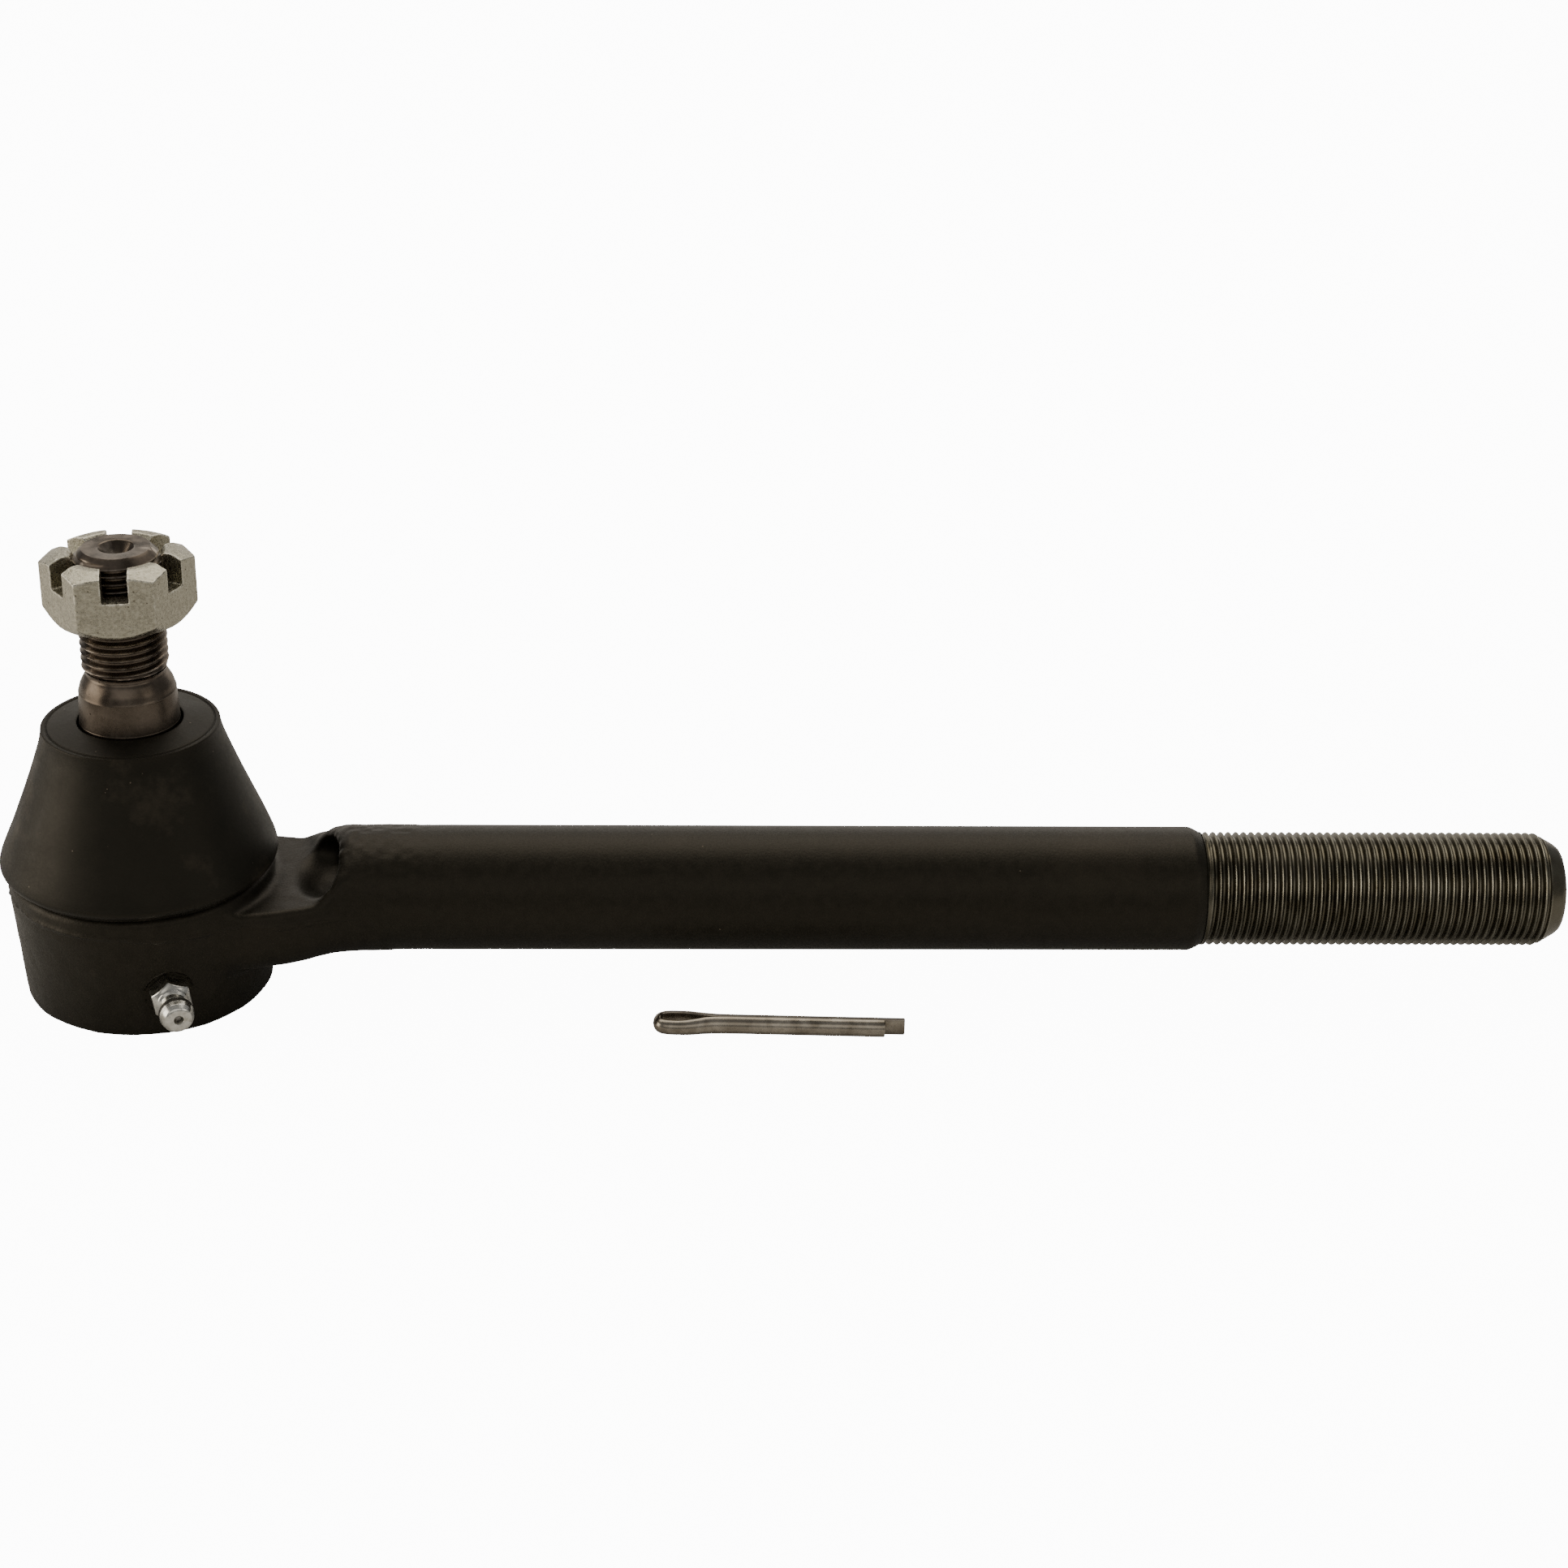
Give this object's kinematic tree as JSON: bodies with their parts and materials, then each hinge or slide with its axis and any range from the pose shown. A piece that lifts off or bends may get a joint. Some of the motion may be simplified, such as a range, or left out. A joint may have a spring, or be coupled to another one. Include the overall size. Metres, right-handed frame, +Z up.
{
  "type": "tie rod end",
  "caption": "Steering tie rod end: forged eye with a long threaded shank, swivelling tapered ball stud, rubber boot, castle nut, grease nipple and loose split pin.",
  "frame": {"origin": "on the stud's axis, in the plane of the eye's flat bottom rim, under the ball", "axes": "+Z up along the stud at rest, +X along the shank towards its thread, -Y the side the grease nipple is on"},
  "size_m": [0.2994, 0.0592, 0.0895],
  "materials": {
    "black_forging": "black phosphate and oil over forged steel, grainy, satin",
    "stud_steel": "turned steel, oiled brown-grey, bright where it is ground",
    "zinc": "zinc plating, yellowish silver, finely pitted",
    "bright_zinc": "bright zinc on a turned nipple",
    "boot_rubber": "moulded black rubber, satin, with pale rub marks",
    "race_resin": "moulded acetal resin, off-white",
    "spring_steel": "hardened spring steel, oiled",
    "pin_steel": "drawn half-round wire, grey-brown and shiny",
    "bare_thread_steel": "bare cut thread, oiled dark steel with straw tints"
  },
  "bodies": {
    "housing": {"housing": "black_forging", "closing_cap": "black_forging", "preload_spring": "spring_steel", "lower_race": "race_resin", "upper_race": "race_resin", "nipple_body": "bright_zinc", "nipple_ball": "spring_steel", "nipple_spring": "spring_steel"},
    "boot": {"dust_boot": "boot_rubber", "boot_foot_ring": "spring_steel"},
    "boot_collar": {"boot_top_ring": "spring_steel"},
    "stud": {"ball_stud": "stud_steel"},
    "nut": {"castle_nut": "zinc"},
    "split_pin": {"split_pin": "pin_steel"}
  },
  "joints": [
    {"name": "stud_heading", "type": "hinge", "parent": "housing", "child": "boot", "pos_m": [0, 0, 0.0165], "axis": [0, 0, 1], "continuous": true},
    {"name": "stud_swing", "type": "hinge", "parent": "boot", "child": "boot_collar", "pos_m": [0, 0, 0.0165], "axis": [0, 1, 0], "range_deg": [-18, 18], "deforming": ["dust_boot"]},
    {"name": "stud_turn", "type": "hinge", "parent": "boot_collar", "child": "stud", "pos_m": [0, 0, 0.0165], "axis": [0, 0, 1], "continuous": true},
    {"name": "nut_run", "type": "slide", "parent": "stud", "child": "nut", "axis": [0, 0, 1], "range_m": [-0.009, 0.022]},
    {"name": "split_pin_lift", "type": "slide", "parent": "housing", "child": "split_pin", "axis": [0, 0, 1], "range_m": [0, 0.1]}
  ]
}
